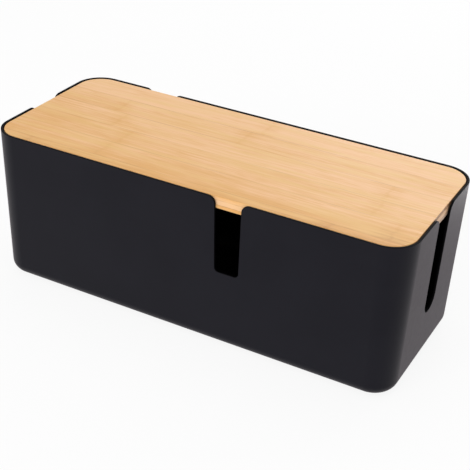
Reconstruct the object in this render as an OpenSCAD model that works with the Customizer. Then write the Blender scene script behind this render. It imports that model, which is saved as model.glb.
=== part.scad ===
// Cable management box: a moulded shell with four open-topped cable slots, and a laid-in
// lid glued up from three plies of bamboo staves. It stands on four stuck-on rubber pads.
// Millimetres, +X along the length, +Y to the back, +Z up, and the pads stand on Z = 0.

/* [Shell] */
// Length over the rim
box_l = 320; // [300:1:420]
// Width over the rim
box_w = 130.5; // [120:0.5:180]
// Height of the shell, from its underside to its rim
box_h = 117; // [105:1:160]
// Radius of the upright corners at the rim
corner_r = 21; // [18:0.5:30]
// Thickness of the walls
wall = 1.6; // [1.2:0.1:3]
// Thickness of the floor
floor_t = 2.2; // [1.6:0.1:4]
// Lean of the walls outwards from upright, in degrees
draft = 1.5; // [0.5:0.1:2]
// Radius between the walls and the underside
base_r = 9; // [4:0.5:10]

/* [Cable slots] */
// Width at the rim of the slots in the front and the back
side_slot_w = 19.8; // [12:0.2:26]
// Width at the rim of the slots in the two ends
end_slot_w = 21.6; // [12:0.2:26]
// Lean of a slot's two sides from upright, in degrees
slot_lean = 0.9; // [0:0.1:2]
// Depth below the rim of the slots in the front and the back
side_slot_depth = 56.7; // [30:0.1:80]
// Rounding of the rim beside the slots in the front and the back
side_lip_r = 5.6; // [2:0.2:8]
// Rounding of the bottom corners of the slots in the front and the back
side_foot_r = 3.2; // [1:0.2:5]
// Depth below the rim of the slots in the two ends
end_slot_depth = 77.7; // [30:0.1:85]
// Rounding of the rim beside the slots in the two ends
end_lip_r = 7.2; // [1:0.2:8]
// Rounding of the bottom corners of the slots in the two ends
end_foot_r = 9.2; // [1:0.2:9.2]
// Place of the front slot, to the right of the middle
front_slot_x = 35.2; // [-90:0.1:90]
// Place of the back slot, to the right of the middle
back_slot_x = -93.6; // [-98:0.1:90]

/* [Lid] */
// Thickness of the top ply and of the bottom ply
face_ply_t = 2.6; // [2.6:0.1:4]
// Thickness of the core ply
core_ply_t = 3.6; // [2:0.1:5]
// How far the lid's top face lies below the rim
lid_drop = 0.2; // [0:0.1:3]
// Gap between the lid's ends and the end walls, at the lid's underside
lid_end_gap = 0.6; // [0.3:0.05:1.5]
// Gap between the lid's long edges and the long walls, at the lid's underside
lid_side_gap = 0.6; // [0.3:0.05:1.5]
// Rounding of the lid's top edge
lid_edge_r = 0.6; // [0.3:0.1:2.5]
// Width of a bamboo stave
stave_w = 23; // [20:0.5:25]
// Place of the top ply's middle joint, behind the middle of the lid
top_joint_y = -9.2; // [-12:0.1:-3]
// Place of the bottom ply's middle joint, behind the middle of the lid
under_joint_y = 6.4; // [3:0.1:12]

/* [Lid rests] */
// Thickness of a rib that the lid rests on
rib_t = 1.6; // [1:0.1:3]
// How far a rib reaches inwards under the lid's edge, from the wall
rib_reach = 4; // [2.5:0.1:6]
// Distance from the start of a rounded corner to the nearest rib
rib_inset = 12; // [4:0.5:18]

/* [Feet] */
// Diameter of a rubber pad
pad_d = 16; // [10:0.5:20]
// Thickness of a rubber pad
pad_t = 1.6; // [1.2:0.1:3]
// Rounding of a pad's lower edge
pad_edge_r = 0.5; // [0.2:0.1:0.8]
// Thickness of the adhesive disc that holds a pad
adhesive_t = 0.2; // [0.1:0.05:0.4]
// Margin of the pad round its adhesive disc
adhesive_margin = 0.5; // [0.2:0.1:1.5]
// Depth of the round recess that a pad sits in
recess_depth = 0.8; // [0.4:0.1:1.1]
// Gap between a pad and the side of its recess
recess_gap = 0.3; // [0.1:0.05:0.6]
// Distance of a pad's centre from the rim's outer faces, seen from above
pad_inset = 26; // [24:0.5:34]

/* [Hidden] */
$fn = 96;
CUT = 1; // how far a cutter runs past the face it opens
FOOT_FLAT = 0.3; // least half width of the flat between a slot's two bottom roundings

// Heights
pad_proud = adhesive_t + pad_t - recess_depth;
under_z = pad_proud;
rim_z = under_z + box_h;
floor_z = under_z + floor_t;
lid_t = 2 * face_ply_t + core_ply_t;
lid_top_z = rim_z - lid_drop;
lid_under_z = lid_top_z - lid_t;

// The upright corners' axes, which the shell and its inside share
axis_x = box_l / 2 - corner_r;
axis_y = box_w / 2 - corner_r;

// Rounds a length to a thousandth of a millimetre, so that edges that meet share one place
function snap(length) = round(length * 1000) / 1000;

// How far a wall leans in, from the rim down to a height
function lean_in(z) = (rim_z - z) * tan(draft);

// Inner face of the wall at the lid's underside, as a radius about a corner's axis
seat_r = corner_r - wall - lean_in(lid_under_z);
rib_inner_r = seat_r - rib_reach;

// The lid's corners turn about axes of their own
lid_corner_r = seat_r - lid_end_gap;
lid_axis_y = axis_y + lid_end_gap - lid_side_gap;
lid_half_l = axis_x + lid_corner_r;
lid_half_w = lid_axis_y + lid_corner_r;

// Half the width of a cable slot at height z above the rim, which is negative in the slot;
// slot_w is its width at the rim
function slot_half(slot_w, z) = snap(slot_w / 2 + z * tan(slot_lean));

// Largest rounding of a slot's two bottom corners, at which they nearly meet in the middle
function round_foot(slot_w, depth) =
    snap((slot_half(slot_w, -depth) - FOOT_FLAT) / (1 - tan(slot_lean)));

// Staves: each ply's joints are counted out from its middle joint
FACE_JOINTS = 5;
CORE_JOINTS = 13;
FACE_STAVES = FACE_JOINTS + 1;
CORE_STAVES = CORE_JOINTS + 1;

CORNERS = [
    ["front_left", -1, -1],
    ["front_right", 1, -1],
    ["back_left", -1, 1],
    ["back_right", 1, 1]
];

// Carries a side profile, drawn outwards from a corner's axis, round all four sides of a block:
// the corners' axes stand at +-turn_x and +-turn_y
module carry_round(turn_x, turn_y, low, high) {
    translate([-turn_x, -turn_y, low])
        cube([2 * turn_x, 2 * turn_y, high - low]);
    for (half_turn = [0, 180]) {
        rotate([0, 0, half_turn]) {
            translate([turn_x, turn_y, 0])
                rotate_extrude(angle = 90)
                    children();
            translate([-turn_x, turn_y, 0])
                rotate([0, 0, 90])
                    rotate_extrude(angle = 90)
                        children();
            translate([turn_x, turn_y, 0])
                rotate([90, 0, 0])
                    linear_extrude(2 * turn_y)
                        children();
            rotate([0, 0, 90])
                translate([turn_y, turn_x, 0])
                    rotate([90, 0, 0])
                        linear_extrude(2 * turn_x)
                            children();
        }
    }
}

// Profile of a leaning wall with a rounded foot: rim_r is its radius at the rim
module wall_profile(rim_r, low, foot_r, high) {
    turn_z = low + foot_r;
    turn_r = snap(rim_r - lean_in(turn_z));
    foot_c = turn_r - foot_r;
    polygon([
        [0, turn_z],
        [turn_r, turn_z],
        [rim_r - lean_in(high), high],
        [0, high]
    ]);
    translate([0, low])
        square([foot_c, foot_r]);
    intersection() {
        translate([foot_c, turn_z])
            circle(foot_r);
        translate([foot_c, low])
            square([foot_r * 2, foot_r]);
    }
}

// Outline of a cable slot, with its rim at height zero
module slot_outline(slot_w, depth, lip_r, widest_foot_r) {
    foot_r = min(widest_foot_r, round_foot(slot_w, depth));
    side_low = [slot_half(slot_w, foot_r - depth), foot_r - depth];
    side_high = [slot_half(slot_w, -lip_r), -lip_r];
    foot_x = side_low[0] - foot_r;
    lip_x = side_high[0] + lip_r;
    polygon([side_low, side_high, [-side_high[0], side_high[1]], [-side_low[0], side_low[1]]]);
    translate([-foot_x, -depth])
        square([2 * foot_x, foot_r]);
    for (side = [-1, 1])
        translate([side * foot_x, side_low[1]])
            circle(foot_r);
    difference() {
        translate([-lip_x, -lip_r])
            square([2 * lip_x, lip_r + CUT]);
        for (side = [-1, 1])
            translate([side * lip_x, -lip_r])
                circle(lip_r);
    }
}

// Cutter for a slot in the wall that faces +X, reach mm from the middle
module slot_cutter(reach, slot_w, depth, lip_r, foot_r) {
    through = wall + lean_in(under_z) + rib_reach;
    translate([reach - through, 0, rim_z])
        rotate([90, 0, 90])
            linear_extrude(through + CUT)
                slot_outline(slot_w, depth, lip_r, foot_r);
}

// Boxes that stand in for the ribs: they run from the floor up to the lid's underside
module ribs() {
    long_rib_x = axis_x - rib_inset;
    end_rib_y = axis_y - rib_inset;
    height = lid_under_z - under_z;
    outwards = corner_r - rib_inner_r + CUT;
    for (side = [0, 1]) {
        mirror([0, side, 0])
            for (x = [-long_rib_x, 0, long_rib_x])
                translate([x - rib_t / 2, axis_y + rib_inner_r, under_z])
                    cube([rib_t, outwards, height]);
        mirror([side, 0, 0])
            for (y = [-end_rib_y, end_rib_y])
                translate([axis_x + rib_inner_r, y - rib_t / 2, under_z])
                    cube([outwards, rib_t, height]);
    }
}

// Space inside the shell, with the ribs left standing
module inside() {
    difference() {
        carry_round(axis_x, axis_y, floor_z, rim_z + CUT)
            wall_profile(corner_r - wall, floor_z, base_r - wall, rim_z + CUT);
        ribs();
    }
}

module at_corner(c) {
    translate([c[1] * (box_l / 2 - pad_inset), c[2] * (box_w / 2 - pad_inset), 0])
        children();
}

module box_shell() {
    color([0.10, 0.10, 0.11])
        difference() {
            carry_round(axis_x, axis_y, under_z, rim_z)
                wall_profile(corner_r, under_z, base_r, rim_z);
            inside();
            translate([front_slot_x, 0, 0])
                rotate([0, 0, -90])
                    slot_cutter(
                        box_w / 2, side_slot_w, side_slot_depth, side_lip_r, side_foot_r);
            translate([back_slot_x, 0, 0])
                rotate([0, 0, 90])
                    slot_cutter(
                        box_w / 2, side_slot_w, side_slot_depth, side_lip_r, side_foot_r);
            for (turn = [0, 180])
                rotate([0, 0, turn])
                    slot_cutter(
                        box_l / 2, end_slot_w, end_slot_depth, end_lip_r, end_foot_r);
            for (c = CORNERS)
                at_corner(c)
                    translate([0, 0, under_z - CUT])
                        cylinder(d = pad_d + 2 * recess_gap, h = recess_depth + CUT);
        }
}

module foot_pad(c) {
    color([0.16, 0.16, 0.17])
        at_corner(c)
            rotate_extrude() {
                translate([0, pad_edge_r])
                    square([pad_d / 2, pad_t - pad_edge_r]);
                square([pad_d / 2 - pad_edge_r, pad_t]);
                intersection() {
                    translate([pad_d / 2 - pad_edge_r, pad_edge_r])
                        circle(pad_edge_r);
                    translate([pad_d / 2 - pad_edge_r, 0])
                        square(pad_edge_r);
                }
            }
}

module foot_adhesive(c) {
    color([0.85, 0.84, 0.80])
        at_corner(c)
            translate([0, 0, pad_t])
                cylinder(d = pad_d - 2 * adhesive_margin, h = adhesive_t);
}

// Profile of a ply's edge, drawn outwards from a corner's axis, with its top edge rounded by edge_r
module ply_profile(low, high, edge_r) {
    translate([0, low])
        square([lid_corner_r, high - low - edge_r]);
    if (edge_r > 0) {
        translate([0, high - edge_r])
            square([lid_corner_r - edge_r, edge_r]);
        translate([lid_corner_r - edge_r, high - edge_r])
            intersection() {
                circle(edge_r);
                square(edge_r);
            }
    }
}

module ply(low, high, edge_r) {
    carry_round(axis_x, lid_axis_y, low, high)
        ply_profile(low, high, edge_r);
}

// Where stave i of a ply starts: the first and the last stave run out past the lid's edge
function stave_start(i, joints, middle, half) =
    i == 0 ? -half - CUT
    : i > joints ? half + CUT
    : middle + (i - 1 - (joints - 1) / 2) * stave_w;

module long_stave(i, middle, low, high, edge_r) {
    start = stave_start(i, FACE_JOINTS, middle, lid_half_w);
    end = stave_start(i + 1, FACE_JOINTS, middle, lid_half_w);
    intersection() {
        ply(low, high, edge_r);
        translate([-lid_half_l - CUT, start, low - CUT])
            cube([2 * (lid_half_l + CUT), end - start, high - low + 2 * CUT]);
    }
}

module lid_top_stave(i) {
    color(i % 2 == 0 ? [0.90, 0.74, 0.53] : [0.86, 0.69, 0.48])
        long_stave(i, top_joint_y, lid_top_z - face_ply_t, lid_top_z, lid_edge_r);
}

module lid_under_stave(i) {
    color(i % 2 == 0 ? [0.84, 0.67, 0.46] : [0.88, 0.72, 0.51])
        long_stave(i, under_joint_y, lid_under_z, lid_under_z + face_ply_t, 0);
}

module lid_core_stave(i) {
    start = stave_start(i, CORE_JOINTS, 0, lid_half_l);
    end = stave_start(i + 1, CORE_JOINTS, 0, lid_half_l);
    low = lid_under_z + face_ply_t;
    color(i % 2 == 0 ? [0.80, 0.63, 0.42] : [0.76, 0.58, 0.38])
        intersection() {
            ply(low, low + core_ply_t, 0);
            translate([start, -lid_half_w - CUT, low - CUT])
                cube([end - start, 2 * (lid_half_w + CUT), core_ply_t + 2 * CUT]);
        }
}

box_shell();
for (c = CORNERS) {
    foot_pad(c);
    foot_adhesive(c);
}
for (i = [0 : FACE_STAVES - 1]) {
    lid_top_stave(i);
    lid_under_stave(i);
}
for (i = [0 : CORE_STAVES - 1])
    lid_core_stave(i);
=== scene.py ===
"""Cable management box, dressed: a moulded shell with cable slots and a laid-in bamboo lid.

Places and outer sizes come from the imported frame. Lengths are in metres. +X runs along the box,
+Y to its back and +Z up, and the box stands on the floor at Z = 0.
"""

import logging
import math
from dataclasses import dataclass, replace
from enum import Enum
from typing import Callable, Sequence, Union

import bmesh
import bpy
from mathutils import Matrix, Vector


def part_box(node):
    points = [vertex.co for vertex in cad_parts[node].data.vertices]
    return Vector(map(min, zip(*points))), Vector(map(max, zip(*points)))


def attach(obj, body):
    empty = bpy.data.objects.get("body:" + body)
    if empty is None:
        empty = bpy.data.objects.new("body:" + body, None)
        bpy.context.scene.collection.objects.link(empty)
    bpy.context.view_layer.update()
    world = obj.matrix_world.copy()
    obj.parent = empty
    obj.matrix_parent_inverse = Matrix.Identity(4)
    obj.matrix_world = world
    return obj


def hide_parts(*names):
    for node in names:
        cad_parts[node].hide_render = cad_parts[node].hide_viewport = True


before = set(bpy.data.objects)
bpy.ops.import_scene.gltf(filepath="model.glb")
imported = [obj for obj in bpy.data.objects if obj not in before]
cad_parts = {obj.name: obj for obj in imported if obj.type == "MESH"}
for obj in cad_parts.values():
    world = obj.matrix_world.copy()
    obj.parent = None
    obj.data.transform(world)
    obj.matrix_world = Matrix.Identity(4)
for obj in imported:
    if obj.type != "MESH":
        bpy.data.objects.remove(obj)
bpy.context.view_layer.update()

MM = 0.001
QUARTER_TURN = math.pi / 2
FULL_TURN = 2 * math.pi
UP = Vector((0.0, 0.0, 1.0))
UP_AXIS = 2
WHITE = (1.0, 1.0, 1.0, 1.0)
WELD = 0.001 * MM
CREASE = math.radians(32)
LOG = logging.getLogger("cable_box")

BMesh = bmesh.types.BMesh
Material = bpy.types.Material
Object = bpy.types.Object
Socket = bpy.types.NodeSocket
Colour = tuple[float, float, float]
Profile = list[tuple[float, float]]
Rings = list[list[Vector]]
Value = Union[float, Sequence[float], Socket]


# ---- Named choices ----


class Side(Enum):
    """The four walls. The value is the turn that carries the front wall onto each of them."""

    FRONT = 0.0
    RIGHT = QUARTER_TURN
    BACK = 2 * QUARTER_TURN
    LEFT = 3 * QUARTER_TURN

    @property
    def along(self) -> Vector:
        """The way along the wall, to the right for someone who faces it from outside."""
        return Vector((math.cos(self.value), math.sin(self.value), 0.0))

    @property
    def out(self) -> Vector:
        """The way straight out of the wall."""
        return Vector((math.sin(self.value), -math.cos(self.value), 0.0))

    @property
    def is_long(self) -> bool:
        """Whether this is one of the two long walls."""
        return self in (Side.FRONT, Side.BACK)


class Grain(Enum):
    """The way a stave's fibres run. The value is the index of that axis."""

    LENGTHWISE = 0
    CROSSWISE = 1

    @property
    def across(self) -> int:
        """Index of the level axis that lies across the fibres."""
        return 1 - self.value


class Ply(Enum):
    """The three layers of the lid, as their nodes name them."""

    TOP = "top"
    CORE = "core"
    UNDER = "under"

    @property
    def grain(self) -> Grain:
        """The way this layer's fibres run."""
        return Grain.CROSSWISE if self is Ply.CORE else Grain.LENGTHWISE

    @property
    def slot(self) -> str:
        """The material slot of its staves."""
        return "bamboo_core" if self is Ply.CORE else "bamboo_face"

    @property
    def seed(self) -> int:
        """A number that sets the patterns of this layer apart from the others'."""
        return len(self.value)

    @property
    def count(self) -> int:
        """Number of its staves."""
        return sum(name.startswith(f"lid_{self.value}_stave_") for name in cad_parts)

    def node(self, number: int) -> str:
        """Name of the node of one stave."""
        return f"lid_{self.value}_stave_{number}"


# ---- Mesh helpers ----


def mesh_object(name: str, bm: BMesh) -> Object:
    """Turns a finished bmesh into an object at the origin.

    Args:
        name: Name of the object and of its mesh.
        bm: The mesh, which is freed.

    Returns:
        The new object, linked to the scene.
    """
    bmesh.ops.recalc_face_normals(bm, faces=bm.faces[:])
    mesh = bpy.data.meshes.new(name)
    bm.to_mesh(mesh)
    bm.free()
    piece = bpy.data.objects.new(name, mesh)
    bpy.context.scene.collection.objects.link(piece)
    return piece


def skinned(*forms: Rings) -> BMesh:
    """Makes a mesh of closed skins.

    Args:
        forms: The rings of each skin, which are closed and have equally many points. Bands
            join neighbouring rings, and the first and the last are capped.

    Returns:
        The new mesh.
    """
    bm = bmesh.new()
    for rings in forms:
        made = [[bm.verts.new(point) for point in ring] for ring in rings]
        for lower, upper in zip(made, made[1:]):
            for i, corner in enumerate(lower):
                beyond = (i + 1) % len(lower)
                bm.faces.new((corner, lower[beyond], upper[beyond], upper[i]))
        bm.faces.new(made[0])
        bm.faces.new(reversed(made[-1]))
    return bm


def turned(profile: Profile, centre: Vector, facets: int = 64) -> Rings:
    """The rings of a form that is turned about an upright axis.

    Args:
        profile: Radius and height of each point, from the lower face to the upper face. No
            radius is nought, because the two faces are capped.
        centre: A point on the axis. The profile's heights are counted from it.
        facets: Number of facets round the form.

    Returns:
        A ring for each point of the profile.
    """
    turns = [FULL_TURN * i / facets for i in range(facets)]
    return [[centre + Vector((r * math.cos(t), r * math.sin(t), z)) for t in turns]
            for r, z in profile]


def arc(centre: tuple[float, float], radius: float, start: float, end: float, steps: int) -> Profile:
    """Points on an arc, from its start angle to its end angle in equal steps."""
    angles = [start + (end - start) * i / steps for i in range(steps + 1)]
    return [(centre[0] + radius * math.cos(a), centre[1] + radius * math.sin(a)) for a in angles]


def past(profile: Profile, start: float) -> Profile:
    """The rest of a profile, from where its first coordinate passes a value.

    Args:
        profile: Points whose first coordinate grows.
        start: The value, which lies between two of them.

    Returns:
        The point at that value, and all later points.
    """
    rest = [point for point in profile if point[0] > start]
    (r0, z0), (r1, z1) = profile[len(profile) - len(rest) - 1], rest[0]
    return [(start, z0 + (z1 - z0) * (start - r0) / (r1 - r0)), *rest]


def combine(piece: Object, tool: Object, operation: str) -> None:
    """Joins a tool to a piece, or cuts it out of the piece, and removes the tool.

    Args:
        piece: The object that is changed.
        tool: The object that it is changed with.
        operation: UNION or DIFFERENCE.
    """
    modifier = piece.modifiers.new("combine", "BOOLEAN")
    modifier.operation = operation
    modifier.solver = "MANIFOLD"
    modifier.object = tool
    graph = bpy.context.evaluated_depsgraph_get()
    mesh = bpy.data.meshes.new_from_object(piece.evaluated_get(graph), depsgraph=graph)
    piece.modifiers.clear()
    piece.data = mesh
    bpy.data.objects.remove(tool)


def shade(piece: Object) -> None:
    """Shades a piece smooth between its creases, with flat faces kept flat.

    Args:
        piece: The object to shade.
    """
    piece.data.shade_smooth()
    piece.data.set_sharp_from_angle(angle=CREASE)
    flatten = piece.modifiers.new("flat_faces_lead", "WEIGHTED_NORMAL")
    flatten.keep_sharp = True


# ---- Finishes ----


@dataclass(frozen=True)
class Ramp:
    """A soft run from one level to another while a value crosses a span.

    Attributes:
        start: Where the span starts.
        end: Where the span ends.
        low: Level up to the start.
        high: Level from the end on.
    """

    start: float
    end: float
    low: float = 0.0
    high: float = 1.0


@dataclass(frozen=True)
class Figure:
    """A cloudy pattern in wood, drawn out along the fibres.

    Attributes:
        lengthwise: Clouds per millimetre along the fibres.
        crosswise: Clouds per millimetre across them, both ways.
        depth: How much it changes what it acts on.
        detail: Number of finer layers.
        roughness: Share of each finer layer.
        shared: Whether all staves lie in the same part of it.
    """

    lengthwise: float
    crosswise: float
    depth: float = 1.0
    detail: float = 2.0
    roughness: float = 0.5
    shared: bool = False


# How far apart the patterns of two staves lie whose seeds differ by one.
CUT_STEP = (13.1, 7.7, 3.3)

# The property that holds the setting of each type of node.
SETTING_OF = {"Math": "operation", "VectorMath": "operation", "MapRange": "interpolation_type",
              "Mix": "data_type"}


class Nodes:
    """A node tree in the making, with short ways to add its nodes and join them."""

    def __init__(self, owner: Union[Material, bpy.types.World]) -> None:
        """Takes up the tree of its owner, a material or the surround."""
        owner.use_nodes = True
        self.tree = owner.node_tree

    def feed(self, socket: Socket, value: Value) -> None:
        """Joins an input to an output, or sets it to a plain value.

        Args:
            socket: The input.
            value: An output socket, a number or a colour.
        """
        if isinstance(value, Socket):
            self.tree.links.new(value, socket)
        else:
            socket.default_value = value

    def node(self, kind: str, *inputs: Value, setting: str = "", **named: Value) -> bpy.types.Node:
        """Adds a node.

        Args:
            kind: The node's type, without the word ShaderNode.
            inputs: What goes into its first inputs, in their order.
            setting: What the node does, if its type can do several things.
            named: What goes into other inputs, named with underscores for blanks.

        Returns:
            The new node.
        """
        made = self.tree.nodes.new("ShaderNode" + kind)
        if setting:
            setattr(made, SETTING_OF[kind], setting)
        for socket, value in zip(made.inputs, inputs):
            self.feed(socket, value)
        for name, value in named.items():
            self.feed(made.inputs[name.replace("_", " ")], value)
        return made

    def math(self, operation: str, *values: Value) -> Socket:
        """Adds a sum, such as MULTIPLY, of numbers or sockets."""
        return self.node("Math", *values, setting=operation).outputs[0]

    def seen_directly(self) -> Socket:
        """Tells rays that look at the background from rays that carry its light.

        Returns:
            1 for the camera, for reflections and through glass, otherwise 0.
        """
        path = self.node("LightPath").outputs
        seen = self.math("MAXIMUM", path["Is Camera Ray"], path["Is Glossy Ray"])
        return self.math("MAXIMUM", seen, path["Is Transmission Ray"])


class Surface(Nodes):
    """A material in the making, read in millimetres of the piece's own frame."""

    def __init__(self, name: str) -> None:
        """Starts a material with one plain shader.

        Args:
            name: Name of the material.
        """
        self.material = bpy.data.materials.new(name)
        super().__init__(self.material)
        self.shader = self.tree.nodes["Principled BSDF"]
        self.point = self.stretch(self.node("TexCoord").outputs["Object"], (1 / MM,) * 3)

    def set(self, **values: Value) -> None:
        """Sets or joins inputs of the shader, named with underscores for blanks."""
        for name, value in values.items():
            self.feed(self.shader.inputs[name.replace("_", " ")], value)

    def stretch(self, vector: Socket, factors: Sequence[float],
                shift: Sequence[float] = (0.0, 0.0, 0.0)) -> Socket:
        """Scales a vector by a factor on each axis, and then shifts it."""
        return self.node("VectorMath", vector, factors, shift, setting="MULTIPLY_ADD").outputs[0]

    def fade(self, value: Socket, ramp: Ramp) -> Socket:
        """The level that a ramp gives for a value."""
        return self.node("MapRange", value, ramp.start, ramp.end, ramp.low, ramp.high,
                         setting="SMOOTHSTEP").outputs[0]

    def noise(self, scale: float, detail: float = 2.0) -> Socket:
        """A cloudy pattern between 0 and 1, with so many clouds per millimetre."""
        return self.node("TexNoise", Vector=self.point, Scale=scale, Detail=detail).outputs["Fac"]

    def blend(self, share: Value, first: Value, second: Value) -> Socket:
        """Mixes two colours.

        Args:
            share: Share of the second colour.
            first: First colour.
            second: Second colour.

        Returns:
            The mixed colour.
        """
        made = self.node("Mix", setting="RGBA")
        sockets = {socket.identifier: socket for socket in made.inputs}
        self.feed(sockets["Factor_Float"], share)
        for name, colour in (("A_Color", first), ("B_Color", second)):
            self.feed(sockets[name], colour if isinstance(colour, Socket) else (*colour, 1.0))
        return next(s for s in made.outputs if s.identifier == "Result_Color")

    def relief(self, height: Socket, depth: float) -> None:
        """Gives the surface a fine relief, so many metres deep where the height is 1."""
        bump = self.node("Bump", Height=height, Distance=depth, Strength=1.0)
        self.set(Normal=bump.outputs["Normal"])


class WoodSurface(Surface):
    """The surface of a stave, with patterns that follow its fibres."""

    def __init__(self, name: str, grain: Grain, seed: float) -> None:
        """Starts the material.

        Args:
            name: Name of the material.
            grain: The way the fibres run.
            seed: Where in the endless patterns the stave was cut.
        """
        super().__init__(name)
        self.grain = grain
        self.cut = [seed * step for step in CUT_STEP]
        self.parts = self.node("SeparateXYZ", Vector=self.point).outputs
        normal = self.node("TexCoord").outputs["Normal"]
        self.facing = self.node("SeparateXYZ", Vector=normal).outputs

    def drawn_out(self, figure: Figure) -> Socket:
        """The point, as it is read in a pattern that is drawn out along the fibres.

        Args:
            figure: The pattern.

        Returns:
            The point.
        """
        factors = [figure.crosswise] * 3
        factors[self.grain.value] = figure.lengthwise
        return self.stretch(self.point, factors, (0.0, 0.0, 0.0) if figure.shared else self.cut)

    def figure(self, figure: Figure) -> Socket:
        """The clouds of a pattern, between 0 and 1."""
        made = self.node("TexNoise", Vector=self.drawn_out(figure), Scale=1.0,
                         Detail=figure.detail, Roughness=figure.roughness)
        return made.outputs["Fac"]

    def mark(self, so_far: Value, coordinate: Socket, middle: float, ramp: Ramp) -> Socket:
        """Adds to the marks so far one that fades with the distance from a coordinate's value."""
        away = self.math("ABSOLUTE", self.math("SUBTRACT", coordinate, middle))
        return self.math("MAXIMUM", so_far, self.fade(away, ramp))


@dataclass(frozen=True)
class MouldedPlastic:
    """Matt black plastic from a finely spark-eroded mould."""

    name: str
    colour: Colour = (0.0047, 0.0044, 0.0080)
    worn: Colour = (0.0058, 0.0055, 0.0094)
    gloss: float = 0.12
    haze: float = 0.04
    haze_tint: Colour = (1.0, 0.15, 0.55)
    haze_roughness: float = 0.3
    dullness: Ramp = Ramp(0.3, 0.7, 0.41, 0.43)
    flow_marks: float = 0.02
    flow_edge: Ramp = Ramp(0.35, 0.65)
    patches: float = 0.3
    grain: float = 0.35
    grain_depth: float = 0.003 * MM

    def build(self) -> Material:
        """Builds the material and returns it."""
        surface = Surface(self.name)
        tone = surface.fade(surface.noise(self.flow_marks, detail=3.0), self.flow_edge)
        surface.set(Base_Color=surface.blend(tone, self.colour, self.worn),
                    Roughness=surface.fade(surface.noise(self.patches), self.dullness),
                    Specular_IOR_Level=self.gloss,
                    Sheen_Weight=self.haze,
                    Sheen_Roughness=self.haze_roughness,
                    Sheen_Tint=(*self.haze_tint, 1.0))
        surface.relief(surface.noise(1 / self.grain, detail=1.0), self.grain_depth)
        return surface.material


# The rim and the slots' edges, across the wall's thickness, are blacker as painted shade, and left
# duller.
PAINTED_SHADE_EDGE = MouldedPlastic(
    name="black_plastic_edge_painted_shade",
    colour=(0.0010, 0.0010, 0.0016),
    worn=(0.0016, 0.0016, 0.0022),
    gloss=0.05,
    haze=0.0,
    dullness=Ramp(0.3, 0.7, 0.59, 0.61),
)


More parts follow.
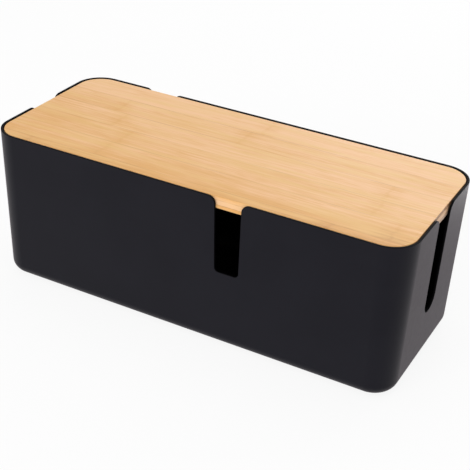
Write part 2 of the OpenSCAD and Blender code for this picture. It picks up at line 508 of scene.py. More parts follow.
@dataclass(frozen=True)
class Bamboo:
    """Sanded and oiled bamboo of one stave, sawn from flattened stalks.

    Attributes:
        name: Name of the material.
        grain: The way the fibres run.
        tone: How dark the stave is, from 0 to 1; for the top staves this includes painted sheen.
        seed: Where in the endless patterns this stave was cut.
        joints: Places of its glued edges across the fibres, in metres.
        seams: Heights of its glued faces, in metres.
        knuckles: Places along the fibres where the stalk had a joint, in metres.
        end_grain: Colour of the sawn ends of the fibres.
        mean_tone: What all the patterns add to the tone on average.
        left_end: How far the top darkens at its left end, along X and along Y.
        front_edge: How far it darkens towards its front edge, along X and along Y.
        darkening_depth: How much that darkens it.
        top_depth: How much darker the whole top is than the sides.
        gloss: How much the surface shines, from the sawn sides to the sealed top.
        streak_relief: How far the streaks stand up in the relief.
        bundle_relief: How far the fibre bundles do, which is less than nought for pits.
    """

    name: str = "bamboo"
    grain: Grain = Grain.LENGTHWISE
    tone: float = 0.45
    seed: float = 0.0
    joints: tuple[float, ...] = ()
    seams: tuple[float, ...] = ()
    knuckles: tuple[float, ...] = ()
    end_grain: Colour = (0.23, 0.11, 0.05)
    pale: Colour = (0.845, 0.515, 0.275)
    honey: Colour = (0.715, 0.385, 0.130)
    straw: Colour = (0.78, 0.50, 0.195)
    fibre: Colour = (0.50, 0.235, 0.080)
    glue: Colour = (0.40, 0.20, 0.075)
    mean_tone: float = 0.77
    bands: Figure = Figure(0.004, 0.16, depth=0.30)
    streaks: Figure = Figure(0.026, 0.56, depth=0.90, detail=4.0, roughness=0.7)
    clouds: Figure = Figure(0.014, 0.05, depth=0.34)
    bundles: Figure = Figure(0.05, 0.6, depth=0.14)
    bundle_edge: Ramp = Ramp(0.12, 0.34, 1.0, 0.0)
    halo: Ramp = Ramp(1.0, 14.0, 1.0, 0.0)
    halo_depth: float = 0.10
    crest: Ramp = Ramp(0.3, 2.2, 1.0, 0.0)
    crest_depth: float = 0.08
    wander: Figure = Figure(0.02, 0.22, depth=7.0, shared=True)
    left_end: tuple[Ramp, Ramp] = (Ramp(-60.0, -150.0), Ramp(5.0, 50.0, 0.7, 0.0))
    front_edge: tuple[Ramp, Ramp] = (Ramp(60.0, 150.0, 1.0, 1.8), Ramp(-20.0, -60.0))
    darkening_depth: float = 0.22
    top_depth: float = 0.12
    yellowing: Figure = Figure(0.011, 0.13, detail=3.0)
    breaks: Figure = Figure(0.02, 0.2)
    glue_edge: Ramp = Ramp(0.06, 0.34, 1.0, 0.0)
    glue_cover: Ramp = Ramp(0.35, 0.65, 0.08, 0.7)
    top_edge: Ramp = Ramp(0.3, 0.9)
    to_honey: Ramp = Ramp(0.0, 0.55)
    to_straw: Ramp = Ramp(0.42, 0.68, 0.0, 0.55)
    to_fibre: Ramp = Ramp(0.45, 1.1)
    to_end_grain: Ramp = Ramp(0.6, 0.95, 0.0, 0.85)
    dullness: Ramp = Ramp(0.2, 0.8, 0.36, 0.5)
    gloss: Ramp = Ramp(0.0, 1.0, 0.08, 0.3)
    streak_relief: float = 0.5
    bundle_relief: float = -0.7
    pore_depth: float = 0.03 * MM

    def knuckle_tone(self, wood: WoodSurface) -> tuple[Value, Value]:
        """How much the stalk's joints darken the surface.

        Args:
            wood: The material in the making.

        Returns:
            The wide halo of each joint and its thin dark crest, each from 0 to 1.
        """
        halo: Value = 0.0
        crest: Value = 0.0
        bend = wood.figure(self.wander)
        along = wood.math("MULTIPLY_ADD", bend, self.wander.depth, wood.parts[self.grain.value])
        for knuckle in self.knuckles:
            middle = knuckle / MM + self.wander.depth / 2
            halo = wood.mark(halo, along, middle, self.halo)
            crest = wood.mark(crest, along, middle, self.crest)
        return halo, crest

    def glue_line(self, wood: WoodSurface) -> Socket:
        """The fine dark line along each glued edge and face, broken here and there.

        Args:
            wood: The material in the making.

        Returns:
            Share of the glue's colour.
        """
        line: Value = 0.0
        edges = [(self.grain.across, joint) for joint in self.joints]
        for axis, edge in edges + [(UP_AXIS, seam) for seam in self.seams]:
            line = wood.mark(line, wood.parts[axis], edge / MM, self.glue_edge)
        broken = wood.fade(wood.figure(self.breaks), self.glue_cover)
        return wood.math("MULTIPLY", line, broken)

    def front_left_darkening(self, wood: WoodSurface, on_top: Socket) -> Socket:
        """How much darker the top is than the sides, and darker still at the front edge and the left
        end.

        Args:
            wood: The material in the making.
            on_top: How far the surface faces up.

        Returns:
            What is added to the tone, which is less than nought on the sides.
        """
        x, y, _ = wood.parts
        aged = [wood.math("MULTIPLY", wood.fade(x, along_x), wood.fade(y, along_y))
                for along_x, along_y in (self.left_end, self.front_edge)]
        most = wood.math("MAXIMUM", *aged)
        deeper = wood.math("MULTIPLY_ADD", most, self.darkening_depth, self.top_depth)
        return wood.math("MULTIPLY_ADD", deeper, on_top, -self.top_depth)

    def build(self) -> Material:
        """Builds the material and returns it."""
        wood = WoodSurface(self.name, self.grain, self.seed)
        on_top = wood.fade(wood.facing[UP_AXIS], self.top_edge)
        endways = wood.math("ABSOLUTE", wood.facing[self.grain.value])
        streaks = wood.figure(self.streaks)
        cells = wood.node("TexVoronoi", Vector=wood.drawn_out(self.bundles), Scale=1.0)
        bundles = wood.fade(cells.outputs["Distance"], self.bundle_edge)
        halo, crest = self.knuckle_tone(wood)

        tone: Value = self.tone - self.mean_tone
        for pattern, depth in (
            (wood.figure(self.bands), self.bands.depth),
            (streaks, self.streaks.depth),
            (wood.figure(self.clouds), self.clouds.depth),
            (self.front_left_darkening(wood, on_top), 1.0),
            (bundles, self.bundles.depth),
            (halo, self.halo_depth),
            (crest, self.crest_depth),
        ):
            tone = wood.math("MULTIPLY_ADD", pattern, depth, tone)
        tone = wood.math("MINIMUM", tone, 1.0)

        colour: Value = self.pale
        for share, over in (
            (wood.fade(tone, self.to_honey), self.honey),
            (wood.fade(wood.figure(self.yellowing), self.to_straw), self.straw),
            (wood.fade(tone, self.to_fibre), self.fibre),
            (wood.fade(endways, self.to_end_grain), self.end_grain),
            (self.glue_line(wood), self.glue),
        ):
            colour = wood.blend(share, colour, over)

        # Only the top is sealed: the sawn edges and the underside stay dull.
        wood.set(Base_Color=colour,
                 Roughness=wood.fade(streaks, self.dullness),
                 Specular_IOR_Level=wood.fade(on_top, self.gloss))
        fibres = wood.math("MULTIPLY", streaks, self.streak_relief)
        wood.relief(wood.math("MULTIPLY_ADD", bundles, self.bundle_relief, fibres), self.pore_depth)
        return wood.material


BAMBOO = {
    Ply.TOP: Bamboo(),
    # The core is sawn from duller, pinker stalks.
    Ply.CORE: Bamboo(tone=0.6, end_grain=(0.82, 0.51, 0.27), pale=(0.76, 0.52, 0.37),
                     honey=(0.67, 0.44, 0.29)),
    Ply.UNDER: Bamboo(end_grain=(0.42, 0.31, 0.25)),
}


@dataclass(frozen=True)
class SoiledSkin:
    """Rubber or film with clouds of dirt, of which cover gives the share and dullness the look."""

    name: str
    colour: Colour
    dirt: Colour
    patches: float
    detail: float
    cover: Ramp
    dullness: Ramp
    gloss: float
    pits: float
    pit_depth: float

    def build(self) -> Material:
        """Builds the material and returns it."""
        surface = Surface(self.name)
        cover = surface.fade(surface.noise(self.patches, self.detail), self.cover)
        surface.set(Base_Color=surface.blend(cover, self.colour, self.dirt),
                    Roughness=surface.fade(cover, self.dullness),
                    Specular_IOR_Level=self.gloss)
        surface.relief(surface.noise(self.pits), self.pit_depth)
        return surface.material


DUSTY_RUBBER = SoiledSkin(
    name="pad_rubber",
    colour=(0.016, 0.016, 0.017),
    dirt=(0.06, 0.058, 0.055),
    patches=0.6,
    detail=4.0,
    cover=Ramp(0.5, 0.9, 0.0, 0.35),
    dullness=Ramp(0.0, 0.35, 0.68, 0.85),
    gloss=0.35,
    pits=4.0,
    pit_depth=0.02 * MM,
)
MILKY_ADHESIVE = SoiledSkin(
    name="adhesive_film",
    colour=(0.62, 0.60, 0.54),
    dirt=(0.36, 0.33, 0.28),
    patches=0.9,
    detail=3.0,
    cover=Ramp(0.45, 0.8),
    dullness=Ramp(0.0, 1.0, 0.3, 0.6),
    gloss=0.5,
    pits=3.0,
    pit_depth=0.01 * MM,
)


@dataclass(frozen=True)
class Seamless:
    """Plain pale paper that runs on into a white background and keeps the object's shadow."""

    name: str
    colour: Colour = (0.92, 0.92, 0.92)
    wash: float = 0.88

    def build(self) -> Material:
        """Builds the material and returns it."""
        surface = Surface(self.name)
        surface.set(Base_Color=(*self.colour, 1.0), Roughness=1.0, Specular_IOR_Level=0.0)
        glow = surface.node("Emission", Color=WHITE, Strength=1.0)
        share = surface.math("MULTIPLY", surface.seen_directly(), self.wash)
        paper = surface.node("MixShader", share, surface.shader.outputs["BSDF"], glow.outputs[0])
        surface.feed(surface.tree.nodes["Material Output"].inputs["Surface"], paper.outputs[0])
        return surface.material


# ---- Plan and stations ----


@dataclass(frozen=True)
class Station:
    """One place along an edge that runs round the box.

    Attributes:
        base: Its foot on the line through the corner axes, at height nought.
        out: The way straight out of the wall.
        drop: Height of the edge above the rim, which is negative in a slot.
        inwards: The way from the edge into the material, in the plane of the wall.
    """

    base: Vector
    out: Vector
    drop: float = 0.0
    inwards: Vector = -UP

    def at(self, radius: float, height: float, inset: float = 0.0) -> Vector:
        """The point so far out from the corner axes, moved inset along the wall from the edge."""
        level = Vector((self.inwards.x, self.inwards.y, 0.0))
        return self.base + self.out * radius + level * inset + UP * height


@dataclass(frozen=True)
class CornerPlan:
    """Four upright axes, about which the shell, its inside and the lid all turn their corners."""

    axis_x: float
    axis_y: float
    corner_steps: int = 24

    def half_run(self, side: Side) -> float:
        """Half the straight stretch of a wall."""
        return self.axis_x if side.is_long else self.axis_y

    def base(self, side: Side, place: float) -> Vector:
        """Foot of a station on a wall's straight stretch, place to the right of its middle."""
        reach = self.axis_y if side.is_long else self.axis_x
        return side.out * reach + side.along * place

    def corner(self, side: Side) -> list[Station]:
        """Stations round the corner to the right of a wall, without its two ends."""
        foot = self.base(side, self.half_run(side))
        turns = [QUARTER_TURN * i / self.corner_steps for i in range(1, self.corner_steps)]
        return [Station(foot, side.out * math.cos(t) + side.along * math.sin(t)) for t in turns]

    def run(self, side: Side) -> list[Station]:
        """The two ends of a wall's straight stretch."""
        half = self.half_run(side)
        return [Station(self.base(side, place), side.out) for place in (-half, half)]


@dataclass(frozen=True)
class SlotShape:
    """Outline of an open-topped slot, which leans a little narrower towards its rounded foot.

    Attributes:
        width: Its width at the rim.
        depth: Its depth below the rim.
        foot_radius: Rounding of its two bottom corners.
        lip_radius: Rounding of the rim beside it.
        lean: Lean of its two sides from upright.
    """

    width: float
    depth: float
    foot_radius: float
    lip_radius: float
    lean: float = math.radians(0.9)
    lip_steps: int = 12
    foot_steps: int = 10

    def half_width(self, drop: float) -> float:
        """Half the slot's width at a height above the rim, which is negative in the slot."""
        return self.width / 2 + drop * math.tan(self.lean)

    def half_outline(self) -> list[tuple[float, float, float, float]]:
        """The slot's right half, from the middle of its foot up to the rim.

        Returns:
            For each point its place to the right of the slot's middle, its height above the
            rim, and the way into the material, as a step to the right and a step up.
        """
        foot_level = self.foot_radius - self.depth
        foot_centre = self.half_width(foot_level) - self.foot_radius / math.cos(self.lean)
        lip_centre = self.half_width(-self.lip_radius) + self.lip_radius / math.cos(self.lean)
        foot = arc((0.0, 0.0), 1.0, -QUARTER_TURN, -self.lean, self.foot_steps)
        lip = arc((0.0, 0.0), 1.0, 2 * QUARTER_TURN - self.lean, QUARTER_TURN, self.lip_steps)
        return [
            *((foot_centre + self.foot_radius * x, foot_level + self.foot_radius * z, x, z)
              for x, z in foot),
            *((lip_centre + self.lip_radius * x, self.lip_radius * (z - 1), -x, -z)
              for x, z in lip),
        ]


@dataclass(frozen=True)
class CableSlot:
    """One of the slots that cables leave through.

    Attributes:
        side: The wall that it is cut in.
        place: Place of its middle, to the right of the wall's middle.
        shape: Its outline.
    """

    side: Side
    place: float
    shape: SlotShape

    def stations(self, plan: CornerPlan) -> list[Station]:
        """Stations down one side of the slot, across its foot and up the other side.

        Args:
            plan: The box's plan.

        Returns:
            The stations, from left to right for someone who faces the wall.
        """
        right = self.shape.half_outline()
        left = [(-place, drop, -step, up) for place, drop, step, up in reversed(right)]
        return [
            Station(plan.base(self.side, self.place + place), self.side.out, drop,
                    self.side.along * step + UP * up)
            for place, drop, step, up in left + right
        ]


# ---- Sub-assemblies ----


@dataclass(frozen=True)
class Shell:
    """The moulded shell, with its slots, the ribs that carry the lid, and the pad recesses.

    Attributes:
        plan: The box's plan.
        low: Height of the underside.
        rim: Height of the rim.
        corner_radius: Radius of the upright corners at the rim.
        lid_seat: Height of the lid's underside.
        slots: The cable slots.
        pads: Centres of the pads, at height nought.
        pin_columns: Places of the ejector pins along the box, as shares of the plan's axis_x.
        pin_rows: Their places across it, as shares of axis_y.
        gate_section: Section of the gate's stub, as shares of its radius and of its height.
        cut_beyond: How far a tool reaches out of the plastic that it cuts.
    """

    plan: CornerPlan
    low: float
    rim: float
    corner_radius: float
    lid_seat: float
    slots: tuple[CableSlot, ...]
    pads: tuple[Vector, ...]
    wall: float = 1.6 * MM
    floor: float = 2.2 * MM
    draft: float = math.radians(1.5)
    base_radius: float = 9 * MM
    edge_radius: float = 0.25 * MM
    rib_thickness: float = 1.6 * MM
    rib_reach: float = 4 * MM
    rib_inset: float = 12 * MM
    rib_easing: float = 0.8 * MM
    recess_radius: float = 8.3 * MM
    recess_depth: float = 0.8 * MM
    recess_easing: float = 0.25 * MM
    gate_radius: float = 3 * MM
    gate_height: float = 0.3 * MM
    gate_section: tuple[tuple[float, float], ...] = (
        (0.4, -0.7), (0.5, -1.0), (0.9, -1.0), (1.0, -0.8))
    pin_radius: float = 3.5 * MM
    pin_depth: float = 0.15 * MM
    pin_columns: tuple[float, ...] = (-0.8, -0.4, 0.4, 0.8)
    pin_rows: tuple[float, ...] = (-0.75, 0.75)
    cut_beyond: float = 1 * MM
    edge_steps: int = 5
    foot_steps: int = 10
    rib_steps: int = 4
    gate_facets: int = 48

    def radius_at(self, height: float) -> float:
        """Radius of the walls' outer face at a height."""
        return self.corner_radius - (self.rim - height) * math.tan(self.draft)

    def stations(self) -> list[Station]:
        """Stations all round the rim, down into each slot and out of it again."""
        made = []
        for side in Side:
            start, end = self.plan.run(side)
            made.append(start)
            for slot in self.slots:
                if slot.side is side:
                    made.extend(slot.stations(self.plan))
            made.append(end)
            made.extend(self.plan.corner(side))
        return made

    def foot_profile(self, depth: float, level: float) -> Profile:
        """The rounded foot of the walls, from the flat floor up to where the wall starts.

        Args:
            depth: How deep in the wall's thickness the profile lies.
            level: Height of the flat face that it runs into.

        Returns:
            Radius and height of each point.
        """
        radius = self.base_radius - depth
        centre_level = level + radius
        centre = self.radius_at(centre_level) - depth - radius / math.cos(self.draft)
        return arc((centre, centre_level), radius, -QUARTER_TURN, -self.draft, self.foot_steps)

    def rim_profile(self) -> list[tuple[float, float]]:
        """Section across the rounded edge of the wall.

        Returns:
            For each point its depth in the wall's thickness and its distance from the edge.
        """
        easing = self.edge_radius
        outer = arc((easing, easing), easing, 2 * QUARTER_TURN, 3 * QUARTER_TURN, self.edge_steps)
        return outer + [(self.wall - depth, inset) for depth, inset in reversed(outer)]

    def wall_mesh(self) -> BMesh:
        """The walls and the floor as one closed skin, with the rim's faces in the second finish, which
        paints shade on them.
        """
        stations = self.stations()
        inset = self.edge_radius
        foot_out = self.foot_profile(0.0, self.low)
        foot_in = self.foot_profile(self.wall, self.low + self.floor)
        rings = [[s.at(r, z, inset) for s in stations] for r, z in foot_out]
        for depth, from_edge in self.rim_profile():
            ring = []
            for station in stations:
                height = self.rim + station.drop + station.inwards.z * from_edge
                ring.append(station.at(self.radius_at(height) - depth, height, from_edge))
            rings.append(ring)
        rings += [[s.at(r, z, inset) for s in stations] for r, z in reversed(foot_in)]
        bm = skinned(rings)
        bm.faces.ensure_lookup_table()
        # The rim's faces, round the rim and down the slots, take the second finish: painted shade.
        first = len(foot_out) * len(stations)
        for face in bm.faces[first:first + (len(self.rim_profile()) - 1) * len(stations)]:
            face.material_index = 1
        return bm

    def rib(self, side: Side, place: float) -> Rings:
        """One rib, which stands on the floor and reaches out to the middle of the wall.

        Args:
            side: The wall that carries it.
            place: Its place to the right of the wall's middle.

        Returns:
            The outlines of its two faces.
        """
        half = self.wall / 2
        inner = self.radius_at(self.lid_seat) - self.wall - self.rib_reach
        foot = self.foot_profile(half, self.low + self.floor / 2)
        top_out = (self.radius_at(self.lid_seat) - half, self.lid_seat)
        crown = arc((inner + self.rib_easing, self.lid_seat - self.rib_easing), self.rib_easing,
                    QUARTER_TURN, 2 * QUARTER_TURN, self.rib_steps)
        outline = [*past(foot, inner), top_out, *crown]
        foot_point = self.plan.base(side, place)
        return [
            [foot_point + side.out * r + side.along * shift + UP * z for r, z in outline]
            for shift in (-self.rib_thickness / 2, self.rib_thickness / 2)
        ]

    def ribs(self) -> Object:
        """All ten ribs, as one tool that is joined to the walls."""
        made = []
        for side in Side:
            outer = self.plan.half_run(side) - self.rib_inset
            places = (-outer, 0.0, outer) if side.is_long else (-outer, outer)
            made += [self.rib(side, place) for place in places]
        return mesh_object("ribs", skinned(*made))

    def recesses(self) -> Object:
        """The four pad recesses and the ejector pins' marks, as one tool that is cut out."""
        r, lip, beyond = self.recess_radius, self.recess_easing, self.cut_beyond
        recess = [(r + lip, -beyond), (r + lip, 0.0), (r, lip), (r, self.recess_depth)]
        pin = [(self.pin_radius, -self.pin_depth), (self.pin_radius, beyond)]
        centres = [Vector((x * self.plan.axis_x, y * self.plan.axis_y, self.low + self.floor))
                   for x in self.pin_columns for y in self.pin_rows]
        made = [turned(recess, pad + UP * self.low) for pad in self.pads]
        made += [turned(pin, centre) for centre in centres]
        return mesh_object("recesses", skinned(*made))

    def gate(self) -> Object:
        """The trimmed stub where the plastic ran into the mould, in the middle of the underside."""
        stub = [(self.gate_radius * r, self.gate_height * z) for r, z in self.gate_section]
        profile = [*stub, (self.gate_radius, self.floor / 2)]
        return mesh_object("gate", skinned(turned(profile, UP * self.low, self.gate_facets)))

    def build(self) -> Object:
        """Builds the shell, dresses it and seats it, and returns it."""
        piece = mesh_object("shell_moulding", self.wall_mesh())
        for finish in (MouldedPlastic("black_plastic"), PAINTED_SHADE_EDGE):
            piece.data.materials.append(finish.build())
        combine(piece, self.ribs(), "UNION")
        combine(piece, self.gate(), "UNION")
        combine(piece, self.recesses(), "DIFFERENCE")
        return seat(piece, "box", "box_shell", "shell_plastic")


@dataclass(frozen=True)
class Lid:
    """The laid-in lid: three plies of bamboo staves, with a rounded top edge.

    Attributes:
        plan: The plan of its corners' axes.
        radius: Radius of the lid's corners.
        tones_and_painted_sheen: How dark each top stave is: its own tone, with the staves paler
            towards the back as painted sheen.
        knuckles: Places along each top stave where the stalk had a joint.
        seed_step: How far apart the seeds of two plies lie, for each step between the plies.
        scatter: Steps that scatter the hidden staves' looks, from stave to stave and ply to ply.
        tone_spread: How much the hidden staves differ in tone.
        knuckle_spread: Length that their knuckles are scattered over.
    """

    plan: CornerPlan
    radius: float
    # Partly each stave's own tone, partly painted sheen: the staves grow paler towards the back.
    tones_and_painted_sheen: tuple[float, ...] = (0.27, 0.22, 0.24, 0.17, 0.20, 0.10)
    knuckles: tuple[tuple[float, ...], ...] = (
        (-0.128, 0.104), (-0.076, 0.142), (-0.074, 0.121), (-0.093, 0.119), (-0.105, -0.001), (0.006,))
    seed_step: float = 10.0
    scatter: tuple[float, float] = (0.618, 0.37)
    tone_spread: float = 0.2
    knuckle_spread: float = 0.25
    arris: float = 0.6 * MM
    arris_steps: int = 8
    easing: float = 0.35 * MM
    easing_steps: int = 4

    def edge_section(self, ply: Ply, low: float, high: float) -> Profile:
        """Section of a ply's edge, from its lower face to its upper face.

        Args:
            ply: The layer.
            low: Height of its lower face.
            high: Height of its upper face.

        Returns:
            Radius and height of each point.
        """
        lower, upper = [(self.radius, low)], [(self.radius, high)]
        if ply is Ply.TOP:
            centre = (self.radius - self.arris, high - self.arris)
            upper = arc(centre, self.arris, 0.0, QUARTER_TURN, self.arris_steps)
        if ply is Ply.UNDER:
            centre = (self.radius - self.easing, low + self.easing)
            lower = arc(centre, self.easing, -QUARTER_TURN, 0.0, self.easing_steps)
        return lower + upper

    def stave(self, ply: Ply, number: int) -> Object:
        """One stave, sawn out of its ply at its two joints.

        Args:
            ply: The layer.
            number: Its number in the layer, from 1.

        Returns:
            The finished piece, without its material.
        """
        low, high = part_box(ply.node(number))
        stations = [s for side in Side for s in self.plan.run(side) + self.plan.corner(side)]
        section = self.edge_section(ply, low.z, high.z)
        bm = skinned([[s.at(r, z) for s in stations] for r, z in section])
        across = ply.grain.across
        normal = Vector((0.0, 0.0, 0.0))
        normal[across] = 1.0
        for joint, way_out in ((low[across], -normal), (high[across], normal)):
            bmesh.ops.bisect_plane(bm, geom=bm.verts[:] + bm.edges[:] + bm.faces[:], dist=WELD,
                                   plane_co=normal * joint, plane_no=way_out, clear_outer=True)
            bmesh.ops.holes_fill(bm, edges=[e for e in bm.edges if e.is_boundary])
        return mesh_object(f"{ply.value}_stave_{number}", bm)

    def finish_of(self, ply: Ply, number: int) -> Bamboo:
        """The bamboo of one stave.

        Args:
            ply: The layer.
            number: Its number in the layer, from 1.

        Returns:
            Its finish.
        """
        low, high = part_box(ply.node(number))
        across = ply.grain.across
        edges = ((low, number > 1), (high, number < ply.count))
        faces = ((low, ply is not Ply.UNDER), (high, ply is not Ply.TOP))
        scattered = (number * self.scatter[0] + ply.seed * self.scatter[1]) % 1.0
        tone = BAMBOO[ply].tone + self.tone_spread * scattered
        knuckles = (self.knuckle_spread * (scattered - 0.5),)
        # The top staves take the listed tones, which carry painted sheen as they grow paler towards
        # the back.
        if ply is Ply.TOP:
            tone, knuckles = self.tones_and_painted_sheen[number - 1], self.knuckles[number - 1]
        return replace(
            BAMBOO[ply],
            name=f"bamboo_{ply.value}_{number}",
            grain=ply.grain,
            tone=tone,
            seed=number + self.seed_step * ply.seed,
            joints=tuple(edge[across] for edge, glued in edges if glued),
            seams=tuple(face.z for face, glued in faces if glued),
            knuckles=knuckles,
        )

    def build(self) -> list[Object]:
        """Builds every stave, dresses it and seats it, and returns them all."""
        made = []
        for ply in Ply:
            for number in range(1, ply.count + 1):
                wood = self.finish_of(ply, number).build()
                made.append(seat(self.stave(ply, number), "lid", ply.node(number), ply.slot, wood))
        return made


@dataclass(frozen=True)
class Feet:
    """The four rubber pads under the box, each on its adhesive disc."""

    corners: tuple[str, ...] = ("front_left", "front_right", "back_left", "back_right")
    edge_radius: float = 0.5 * MM
    edge_steps: int = 6
    back_easing: float = 0.1 * MM
    sole_middle: float = 0.4 * MM
    groove_depth: float = 0.18 * MM
    groove_width: float = 0.7 * MM
    groove_floor: float = 0.6
    groove_radii: tuple[float, ...] = (2.2 * MM, 4.0 * MM, 5.8 * MM)
    film_easing: float = 0.05 * MM
    facets: int = 72

    def pad_section(self, radius: float, height: float) -> Profile:
        """Section of a pad: a grooved sole, a rounded lower edge and a flat back.

        Args:
            radius: Radius of the pad.
            height: Its thickness.

        Returns:
            Radius and height of each point, from the sole to the back.
        """
        half, edge, easing = self.groove_width / 2, self.edge_radius, self.back_easing
        sole = [(self.sole_middle, 0.0)]
        for groove in self.groove_radii:
            sole += [(groove - half, 0.0), (groove - half * self.groove_floor, self.groove_depth),
                     (groove + half * self.groove_floor, self.groove_depth), (groove + half, 0.0)]
        rounded = arc((radius - edge, edge), edge, -QUARTER_TURN, 0.0, self.edge_steps)
        return [*sole, *rounded, (radius, height - easing), (radius - easing, height)]

    def film_section(self, radius: float, height: float) -> Profile:
        """Section of an adhesive disc, whose edge bulges a little where it is pressed."""
        ease = self.film_easing
        return [(radius - ease, 0.0), (radius, ease), (radius, height - ease), (radius - ease, height)]

    def disc(self, kind: str, corner: str, section: Callable[[float, float], Profile],
             slot: str, material: Material) -> Object:
        """One pad or adhesive disc, turned about its own axis.

        Args:
            kind: What it is, pad or adhesive.
            corner: The corner that it stands at.
            section: Gives its section from its radius and its height.
            slot: Its material slot.
            material: Its material.

        Returns:
            The finished piece.
        """
        node = f"foot_{kind}_{corner}"
        low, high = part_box(node)
        middle = (low + high) / 2
        form = turned(section((high.x - low.x) / 2, high.z - low.z),
                      Vector((middle.x, middle.y, low.z)), self.facets)
        return seat(mesh_object(f"{kind}_{corner}", skinned(form)), "box", node, slot, material)

    def centres(self) -> tuple[Vector, ...]:
        """Centre of each pad, at height nought."""
        boxes = [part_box(f"foot_pad_{corner}") for corner in self.corners]
        return tuple(Vector(((low.x + high.x) / 2, (low.y + high.y) / 2, 0.0)) for low, high in boxes)

    def build(self) -> list[Object]:
        """Builds the pads and their adhesive discs, and returns them."""
        rubber, adhesive = DUSTY_RUBBER.build(), MILKY_ADHESIVE.build()
        made = []
        for corner in self.corners:
            made.append(self.disc("pad", corner, self.pad_section, "pad_rubber", rubber))
            made.append(self.disc("adhesive", corner, self.film_section, "pad_adhesive", adhesive))
        return made


# ---- Studio ----


def hang(name: str, data: bpy.types.ID, pose: Matrix) -> Object:
    """Puts a lamp or the camera into the scene.

    Args:
        name: Name of the new object.
        data: The lamp or camera.
        pose: Where it is and how it is turned.

    Returns:
        The new object.
    """
    holder = bpy.data.objects.new(name, data)
    bpy.context.scene.collection.objects.link(holder)
    holder.matrix_world = pose
    return holder


@dataclass(frozen=True)
class Softbox:
    """A soft lamp that points at a place and isn't seen itself.

    Attributes:
        name: Name of the lamp.
        place: Where it hangs.
        aim: What it points at.
        width: Its width.
        height: Its height.
        power: Its power in watts.
        spread: The angle that its light is held to.
    """

    name: str
    place: tuple[float, float, float]
    aim: tuple[float, float, float]
    width: float
    height: float
    power: float
    spread: float = math.pi

    def build(self) -> Object:
        """Hangs the lamp and returns it."""
        lamp = bpy.data.lights.new(self.name, "AREA")
        lamp.shape = "RECTANGLE"
        lamp.size, lamp.size_y = self.width, self.height
        lamp.energy = self.power
        lamp.spread = self.spread
        way = Vector(self.aim) - Vector(self.place)
        turn = way.to_track_quat("-Z", "Y").to_matrix().to_4x4()
        holder = hang(self.name, lamp, Matrix.Translation(self.place) @ turn)
        holder.visible_camera = False
        return holder


@dataclass(frozen=True)
class Camera:
    """The camera, placed by the way it looks at a point.

    Attributes:
        azimuth: How far to the right of the front it stands.
        elevation: How far above the horizon it stands.
        roll: How far it is turned about its own line of sight, anticlockwise.
        distance: Distance to the point.
        target: The point in the middle of the picture.
        lens: Focal length, in millimetres for a sensor of the width given.
        sensor: Width of the sensor, in millimetres.
    """

    azimuth: float = math.radians(27.308)
    elevation: float = math.radians(29.97)
    roll: float = math.radians(2.688)
    distance: float = 795.33 * MM
    target: tuple[float, float, float] = (15.24 * MM, -14.46 * MM, 61.81 * MM)
    lens: float = 85.76
    sensor: float = 36.0
    nearest: float = 10 * MM

    def build(self) -> Object:
        """Sets up the camera, makes it the scene's own and returns it."""
        data = bpy.data.cameras.new("camera")
        data.lens = self.lens
        data.sensor_width = self.sensor
        data.clip_start = self.nearest
        turn = (Matrix.Rotation(self.azimuth, 4, "Z")
                @ Matrix.Rotation(QUARTER_TURN - self.elevation, 4, "X")
                @ Matrix.Rotation(self.roll, 4, "Z"))
        place = Vector(self.target) + turn.col[2].xyz * self.distance
        holder = hang("camera", data, Matrix.Translation(place) @ turn)
        bpy.context.scene.camera = holder
        return holder


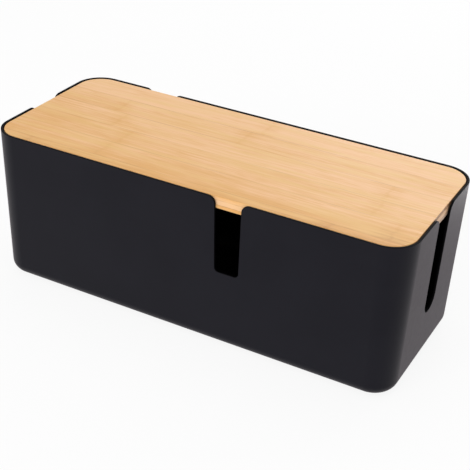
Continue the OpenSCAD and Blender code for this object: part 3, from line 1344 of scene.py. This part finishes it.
@dataclass(frozen=True)
class Studio:
    """A plain pale floor, soft lamps and an even surround."""

    floor_size: float = 6.0
    fill: float = 0.55
    lamps: tuple[Softbox, ...] = (
        Softbox("overhead", (0.1, 0.1, 1.5), (0.0, 0.0, 0.05), 1.6, 1.2, 4.5),
        Softbox("from_behind", (0.1, 1.5, 0.75), (0.05, 0.0, 0.11), 1.4, 0.7, 7.0),
        Softbox("from_the_front", (-0.1, -1.6, 0.8), (0.0, 0.0, 0.06), 1.4, 1.0, 17.0),
        Softbox("beside_the_back", (0.26, 0.27, 0.055), (0.159, 0.11, 0.125), 0.10, 0.06, 0.04,
                spread=math.radians(45.0)),
    )

    def build_floor(self) -> Object:
        """Lays the floor that the box stands on and returns it."""
        bm = bmesh.new()
        bmesh.ops.create_grid(bm, x_segments=1, y_segments=1, size=self.floor_size / 2)
        floor = mesh_object("floor", bm)
        floor.data.materials.append(Seamless("pale_paper").build())
        return floor

    def build_surround(self) -> bpy.types.World:
        """Makes the even surround, white where it is seen, and returns it."""
        world = bpy.data.worlds.new("surround")
        nodes = Nodes(world)
        level = nodes.node("MapRange", nodes.seen_directly(), To_Min=self.fill, To_Max=1.0)
        background = nodes.tree.nodes["Background"]
        nodes.feed(background.inputs["Color"], WHITE)
        nodes.feed(background.inputs["Strength"], level.outputs[0])
        bpy.context.scene.world = world
        return world

    def build(self) -> None:
        """Sets up the floor, the lamps, the surround and the colour management."""
        self.build_floor()
        self.build_surround()
        for lamp in self.lamps:
            lamp.build()
        bpy.context.scene.view_settings.view_transform = "Standard"


# ---- Putting it together ----


def seat(piece: Object, body: str, node: str, slot: str, *materials: Material) -> Object:
    """Dresses a piece, and makes it ride on its body and stand for its node.

    Args:
        piece: The piece.
        body: The body that it moves with.
        node: The node that it replaces.
        slot: The material slot meant for its finish; not used.
        materials: Its materials, unless it has them already.

    Returns:
        The piece.
    """
    shade(piece)
    for material in materials:
        piece.data.materials.append(material)
    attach(piece, body)
    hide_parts(node)
    return piece


def main() -> None:
    """Builds the studio and every sub-assembly."""
    logging.basicConfig(level=logging.INFO, format="%(name)s: %(message)s")
    low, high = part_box("box_shell")
    corner_radius = 21 * MM
    plan = CornerPlan(high.x - corner_radius, high.y - corner_radius)
    lid_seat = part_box(Ply.UNDER.node(1))[0].z
    lid_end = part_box(Ply.TOP.node(Ply.TOP.count // 2))[1].x
    lid_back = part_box(Ply.TOP.node(Ply.TOP.count))[1].y
    lid_radius = lid_end - plan.axis_x
    in_long_wall = SlotShape(
        width=19.8 * MM, depth=56.7 * MM, foot_radius=3.2 * MM, lip_radius=5.6 * MM)
    in_end_wall = SlotShape(
        width=21.6 * MM, depth=77.7 * MM, foot_radius=9.2 * MM, lip_radius=7.2 * MM)

    Camera().build()
    Studio().build()
    feet = Feet()
    shell = Shell(
        plan=plan,
        low=low.z,
        rim=high.z,
        corner_radius=corner_radius,
        lid_seat=lid_seat,
        slots=(
            CableSlot(Side.FRONT, 35.2 * MM, in_long_wall),
            CableSlot(Side.RIGHT, 0.0, in_end_wall),
            CableSlot(Side.BACK, 93.6 * MM, in_long_wall),
            CableSlot(Side.LEFT, 0.0, in_end_wall),
        ),
        pads=feet.centres(),
    )
    lid = Lid(CornerPlan(plan.axis_x, lid_back - lid_radius), lid_radius)
    for piece in (shell.build(), *feet.build(), *lid.build()):
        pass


if __name__ == "__main__":
    main()
